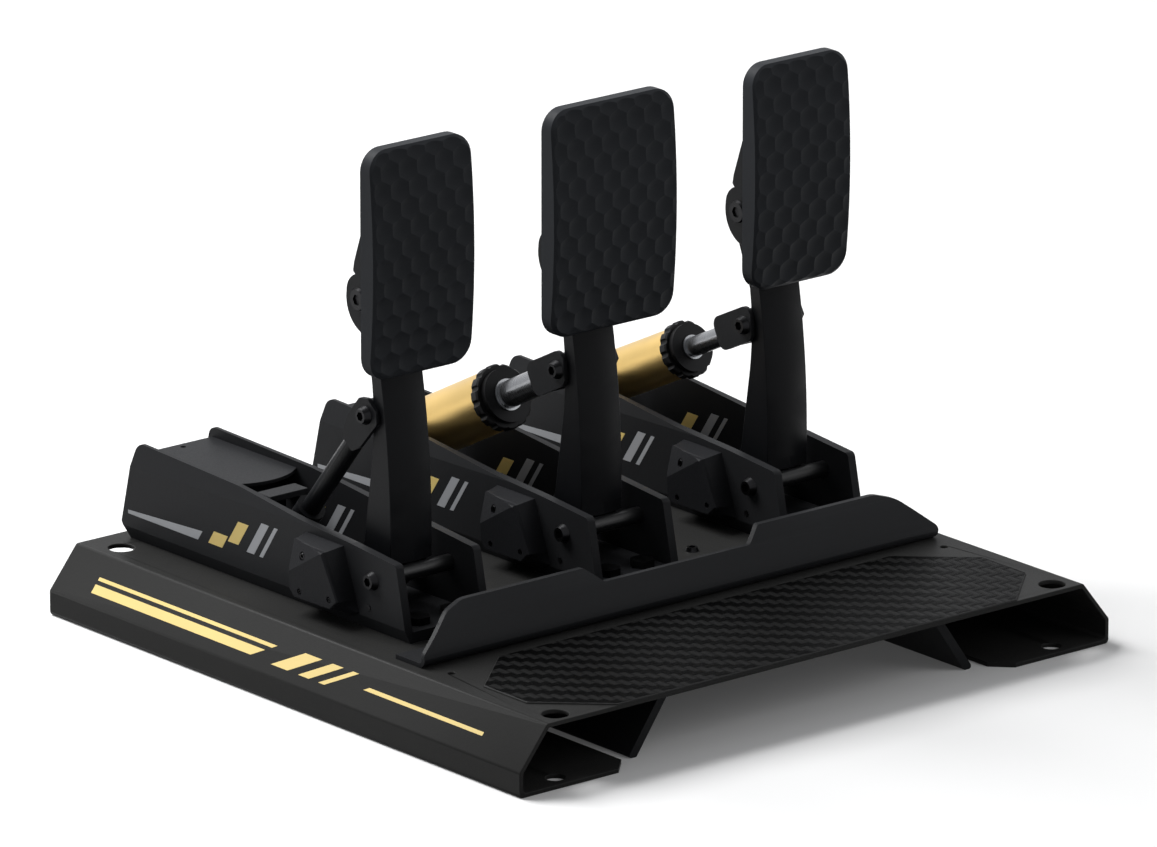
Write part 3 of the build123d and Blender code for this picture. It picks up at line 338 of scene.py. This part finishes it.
black = coat("black_powder_coat", (0.0165, 0.0170, 0.0184), 0.46, level=0.07)
# The base plate's coat is the black coat made lighter and more neutral; the extra lightness is painted light,
# standing in for the brighter light on its up-facing deck and slopes.
base_lit_coat = coat("base_lit_coat", (0.0205, 0.0205, 0.0200), 0.46, level=0.07)
arm_paint = coat("arm_paint", (0.0050, 0.0053, 0.0062), 0.40, level=0.09, grain=0.7)
pad_paint = coat("pad_paint", (0.0275, 0.0295, 0.0330), 0.46, level=0.05, grain=0.8)
box_plastic = coat("box_plastic", (0.0115, 0.0119, 0.0135), 0.50, level=0.06, grain=1.6)
mat_weave = carbon("mat_weave", 0.0046, (0.0008, 0.0008, 0.0008), (0.0135, 0.0135, 0.0135))
rod_black = coat("rod_black", (0.0045, 0.0046, 0.0050), 0.34, level=0.28, grain=0.3)
screw_black = brushed("screw_black", (0.018, 0.018, 0.019), 0.36)
zinc = brushed("zinc_steel", (0.50, 0.50, 0.50), 0.34)
SLOT_PAINTS = {
    "black_coat": black,
    "pad_grey": pad_paint,
    "arm_coat": arm_paint,
    "mat_rubber": mat_weave,
    "dark_steel": screw_black,
    "plain_steel": zinc,
    "black_plastic": box_plastic,
}
for line_name, line in (("brake", BRAKE_LINE), ("throttle", THROTTLE_LINE)):
    chrome = turned(f"{line_name}_chrome", (0.25, 0.255, 0.265), 0.27, line)
    gold = turned(f"{line_name}_gold", (0.70, 0.485, 0.175), 0.36, line)
    knob_black = turned(f"{line_name}_knob_black", (0.016, 0.016, 0.0165), 0.46, line)
    for piece, paint in (
        ("rod", chrome),
        ("gland_ring", chrome),
        ("cylinder", gold),
        ("knob", knob_black),
        ("rear_end", screw_black),
    ):
        for slot in nodes[f"{line_name}_{piece}"].material_slots:
            slot.material = paint
for label, node in nodes.items():
    for slot in node.material_slots:
        key = slot.material.name.split(".")[0] if slot.material else ""
        if key in SLOT_PAINTS:
            slot.material = SLOT_PAINTS[key]
for label, paint in (
    ("tie_rods", rod_black), ("clutch_strut_tube", arm_paint), ("clutch_strut_can", arm_paint),
    ("base_plate", base_lit_coat), ("pivot_shafts", screw_black),
):
    for slot in nodes[label].material_slots:
        slot.material = paint


SOFT_ENDINGS = ("_wall", "_rear_cover", "_arm", "_clevis", "_pad_bracket", "_sensor_box")
SOFT_NODES = ("base_plate", "heel_plate", "clutch_anchor", "clutch_strut_tube", "under_channel")
WELD_DISTANCE = 0.00001
EDGE_WIDTH = 0.0005
EDGE_ANGLE = math.radians(32)


def soften_edges(node):
    """Rounds a CAD node's edges by a bevel, so that they catch the light."""
    weld = node.modifiers.new("weld", "WELD")
    weld.merge_threshold = WELD_DISTANCE
    bevel = node.modifiers.new("bevel", "BEVEL")
    bevel.width = EDGE_WIDTH
    bevel.segments = 2
    bevel.limit_method = "ANGLE"
    bevel.angle_limit = EDGE_ANGLE
    bevel.use_clamp_overlap = True
    bevel.harden_normals = True


for label, node in nodes.items():
    if label.endswith(SOFT_ENDINGS) or label in SOFT_NODES:
        soften_edges(node)


# Pieces made here

def add_piece(name, mesh, body, paint):
    piece = bpy.data.objects.new(name, mesh)
    bpy.context.scene.collection.objects.link(piece)
    mesh.materials.append(paint)
    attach(piece, body)
    return piece


# Pads: a crowned front of hexagonal hollows, cut by the bevel around it

PAD_EDGE_DEPTH = 9.2
PAD_CROWN = 4.0
PAD_CORNER = 12.0
PAD_BEVEL = 2.2
HOLLOW_DEPTH = 1.35
HOLLOW_STEPS = 5
HOLLOW_MARGIN = 6
BACK_BEVEL = 0.5
OVERCUT = 1.6
CAP_DEPTH = 8.0
CORNER_STEPS = 8
SIDE_STEPS = 14
PAD_SHARP_ANGLE = math.radians(23)
ROW_PITCH = 10.4
LATTICES = {"clutch": (12.1, -22.0, 246.9), "brake": (11.85, -27.4, 236.5), "throttle": (12.1, -21.0, 246.9)}


def pad_front(z, middle, height):
    radius = (height * height / 4 + PAD_CROWN * PAD_CROWN) / (2 * PAD_CROWN)
    rise = math.sqrt(radius * radius - (z - middle) ** 2) - (radius - PAD_CROWN)
    return PAD_EDGE_DEPTH + rise


def pad_outline(half_x, half_z):
    """Points round a rectangle with round corners, in order, each with its outward direction."""
    centre_x, centre_z = half_x - PAD_CORNER, half_z - PAD_CORNER
    points = []
    for corner, (sx, sz) in enumerate(((1, 1), (-1, 1), (-1, -1), (1, -1))):
        for step in range(CORNER_STEPS + 1):
            angle = math.radians(90 * corner + 90 * step / CORNER_STEPS)
            out = (math.cos(angle), math.sin(angle))
            points.append((sx * centre_x + PAD_CORNER * out[0], sz * centre_z + PAD_CORNER * out[1], out))
        if corner in (1, 3):
            for step in range(1, SIDE_STEPS):
                z = sz * (centre_z - 2 * centre_z * step / SIDE_STEPS)
                points.append((sx * half_x, z, (float(sx), 0.0)))
    return points


def ring_solid(name, rings):
    """Closed mesh through rings of equal length, with a face at each end."""
    mesh = bpy.data.meshes.new(name)
    count = len(rings[0])
    vertices = [point for ring in rings for point in ring]
    faces = []
    for level in range(len(rings) - 1):
        for index in range(count):
            after = (index + 1) % count
            low, high = level * count, (level + 1) * count
            faces.append((low + index, low + after, high + after, high + index))
    faces.append(tuple(reversed(range(count))))
    faces.append(tuple(range((len(rings) - 1) * count, len(rings) * count)))
    mesh.from_pydata(vertices, [], faces)
    work = bmesh.new()
    work.from_mesh(mesh)
    bmesh.ops.recalc_face_normals(work, faces=work.faces)
    work.to_mesh(mesh)
    work.free()
    return mesh


def hollow_block(name, centre_x, back_y, bottom, top, half_x, lattice):
    """Solid behind a sheet of hexagonal hollows that covers more than the pad."""
    pitch, start_x, start_z = lattice
    middle, height = (top + bottom) / 2, top - bottom
    radius = pitch / math.sqrt(3)
    stretch = ROW_PITCH / (1.5 * radius)
    corners = [
        (radius * math.cos(math.radians(30 + 60 * k)), stretch * radius * math.sin(math.radians(30 + 60 * k)))
        for k in range(6)
    ]
    work = bmesh.new()
    rows = range(math.floor((bottom - start_z) / ROW_PITCH) - 1, math.ceil((top - start_z) / ROW_PITCH) + 2)
    for row in rows:
        z0 = start_z + row * ROW_PITCH
        shift = pitch / 2 if row % 2 else 0.0
        first = math.floor((-half_x - start_x - shift) / pitch) - 1
        last = math.ceil((half_x - start_x - shift) / pitch) + 1
        for column in range(first, last + 1):
            x0 = start_x + shift + column * pitch
            for side in range(6):
                ax, az = corners[side]
                bx, bz = corners[(side + 1) % 6]
                grid = {}
                for i in range(HOLLOW_STEPS + 1):
                    for j in range(HOLLOW_STEPS + 1 - i):
                        dx = (ax * i + bx * j) / HOLLOW_STEPS
                        dz = (az * i + bz * j) / HOLLOW_STEPS
                        reach = (dx * dx + (dz / stretch) ** 2) / (radius * radius)
                        z = z0 + dz
                        inside = min(max(z, bottom - HOLLOW_MARGIN), top + HOLLOW_MARGIN)
                        front = pad_front(inside, middle, height) - HOLLOW_DEPTH * (1 - reach)
                        grid[i, j] = work.verts.new((
                            (centre_x + x0 + dx) * MM, (back_y - front) * MM, z * MM,
                        ))
                for i in range(HOLLOW_STEPS):
                    for j in range(HOLLOW_STEPS - i):
                        work.faces.new((grid[i, j], grid[i + 1, j], grid[i, j + 1]))
                        if i + j < HOLLOW_STEPS - 1:
                            work.faces.new((grid[i + 1, j], grid[i + 1, j + 1], grid[i, j + 1]))
    bmesh.ops.remove_doubles(work, verts=work.verts, dist=0.00002)
    rim = [edge for edge in work.edges if edge.is_boundary]
    grown = bmesh.ops.extrude_edge_only(work, edges=rim)["geom"]
    for vertex in (part for part in grown if isinstance(part, bmesh.types.BMVert)):
        vertex.co.y = (back_y + HOLLOW_MARGIN) * MM
    bmesh.ops.holes_fill(work, edges=[edge for edge in work.edges if edge.is_boundary], sides=0)
    bmesh.ops.recalc_face_normals(work, faces=work.faces)
    mesh = bpy.data.meshes.new(name)
    work.to_mesh(mesh)
    work.free()
    return mesh


def make_pad(name):
    label = f"{name}_pad"
    low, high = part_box(label)
    low, high = [v / MM for v in low], [v / MM for v in high]
    centre_x, half_x = (low[0] + high[0]) / 2, (high[0] - low[0]) / 2
    back_y, bottom, top = high[1], low[2], high[2]
    middle, height = (top + bottom) / 2, top - bottom
    outline = pad_outline(half_x, height / 2)

    def ring(inset, depth_of):
        return [
            (
                (centre_x + x - out[0] * inset) * MM,
                (back_y - depth_of(middle + z)) * MM,
                (middle + z - out[1] * inset) * MM,
            )
            for x, z, out in outline
        ]

    def crown(z):
        return pad_front(z, middle, height)

    body = ring_solid(f"{label}_body", [
        ring(BACK_BEVEL, lambda z: 0.0),
        ring(0.0, lambda z: BACK_BEVEL),
        ring(0.0, lambda z: crown(z) - PAD_BEVEL),
        ring(PAD_BEVEL + OVERCUT, lambda z: crown(z) + OVERCUT),
        ring(PAD_BEVEL + OVERCUT, lambda z: PAD_EDGE_DEPTH + PAD_CROWN + CAP_DEPTH),
    ])
    holder = bpy.data.objects.new(f"{label}_holder", body)
    cutter = bpy.data.objects.new(
        f"{label}_cutter",
        hollow_block(f"{label}_hollows", centre_x, back_y, bottom, top, half_x, LATTICES[name]),
    )
    for work in (holder, cutter):
        bpy.context.scene.collection.objects.link(work)
    cut = holder.modifiers.new("cut", "BOOLEAN")
    cut.operation = "INTERSECT"
    cut.solver = "EXACT"
    cut.object = cutter
    bpy.context.view_layer.update()
    mesh = bpy.data.meshes.new_from_object(holder.evaluated_get(bpy.context.evaluated_depsgraph_get()))
    mesh.name = f"{label}_mesh"
    for work in (holder, cutter):
        data = work.data
        bpy.data.objects.remove(work)
        bpy.data.meshes.remove(data)
    mesh.materials.clear()
    mesh.shade_smooth()
    mesh.set_sharp_from_angle(angle=PAD_SHARP_ANGLE)
    piece = add_piece(f"{label}_hollowed", mesh, f"{name}_arm", pad_paint)
    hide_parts(label)


for name in ("clutch", "brake", "throttle"):
    make_pad(name)


# Printed stripes: thin sheets of paint on the slopes and the walls

PRINT_THICKNESS = 0.08
PRINT_SINK_SHARE = 0.2
gold_print = coat("gold_print", (0.78, 0.59, 0.20), 0.45, level=0.4, grain=0.4)
silver_print = coat("silver_print", (0.36, 0.37, 0.39), 0.42, level=0.4, grain=0.4)


def print_shapes(name, shapes, place, normal, paint):
    """One mesh of thin flat shapes, each given by its corners on a surface."""
    work = bmesh.new()
    lift = Vector(normal) * PRINT_THICKNESS * MM
    for shape in shapes:
        points = [Vector(place(*corner)) * MM for corner in shape]
        top = [work.verts.new(point + lift) for point in points]
        low = [work.verts.new(point - lift * PRINT_SINK_SHARE) for point in points]
        work.faces.new(top)
        work.faces.new(list(reversed(low)))
        for index in range(len(points)):
            after = (index + 1) % len(points)
            work.faces.new((top[index], low[index], low[after], top[after]))
    bmesh.ops.recalc_face_normals(work, faces=work.faces)
    mesh = bpy.data.meshes.new(name)
    work.to_mesh(mesh)
    work.free()
    add_piece(name, mesh, "base", paint)


def slanted_bar(start, width, low, high, slant):
    return ((start, low), (start - width, low), (start - width - slant, high), (start - slant, high))


HALF_BASE = 203.0
LIP_TOP = 14.0
SLOPE_RUN = 18.5
SLOPE_RISE = 23.0
SLOPE_LENGTH = math.hypot(SLOPE_RUN, SLOPE_RISE)
slope_shapes = [
    ((168, 7.0), (30, 7.0), (21.5, 12.2), (168, 12.2)),
    ((168, 14.6), (17.6, 14.6), (14.4, 16.6), (168, 16.6)),
    slanted_bar(12, 14, 6.2, 18.4, 20),
    slanted_bar(-11, 9, 6.2, 18.4, 20),
    slanted_bar(-28, 5, 6.2, 18.4, 20),
    ((-62, 11.2), (-160, 11.2), (-160, 13.4), (-65.6, 13.4)),
]
for side, side_name in ((-1, "left"), (1, "right")):
    def on_slope(y, s, side=side):
        share = s / SLOPE_LENGTH
        return (side * (HALF_BASE - SLOPE_RUN * share), y, LIP_TOP + SLOPE_RISE * share)

    normal = (side * SLOPE_RISE / SLOPE_LENGTH, 0, SLOPE_RUN / SLOPE_LENGTH)
    print_shapes(f"{side_name}_slope_print", slope_shapes, on_slope, normal, gold_print)

MODULE_PITCH = 130.0
HALF_MODULE = 28.5
WALL_THICKNESS = 5.0
wall_silver = [
    ((187, 53.5), (187, 51.5), (126, 51.5), (122, 57.0)),
    slanted_bar(84, 6.5, 55, 74, 13),
    slanted_bar(73, 3.0, 55, 74, 13),
]
wall_gold = [
    slanted_bar(117, 12, 52.0, 59.5, 5),
    slanted_bar(100, 9, 57.0, 70.0, 9),
]
for index, name in enumerate(("clutch", "brake", "throttle")):
    centre = (index - 1) * MODULE_PITCH
    faces = (
        ("left_wall", centre - HALF_MODULE),
        ("right_wall", centre + HALF_MODULE - WALL_THICKNESS),
    )
    for where, x in faces:
        def on_wall(y, z, x=x):
            return (x, y, z)

        print_shapes(f"{name}_{where}_silver", wall_silver, on_wall, (-1, 0, 0), silver_print)
        print_shapes(f"{name}_{where}_gold", wall_gold, on_wall, (-1, 0, 0), gold_print)


# Frame, stage and last line

make_camera()
make_stage()
bpy.context.scene.view_settings.view_transform = "Standard"
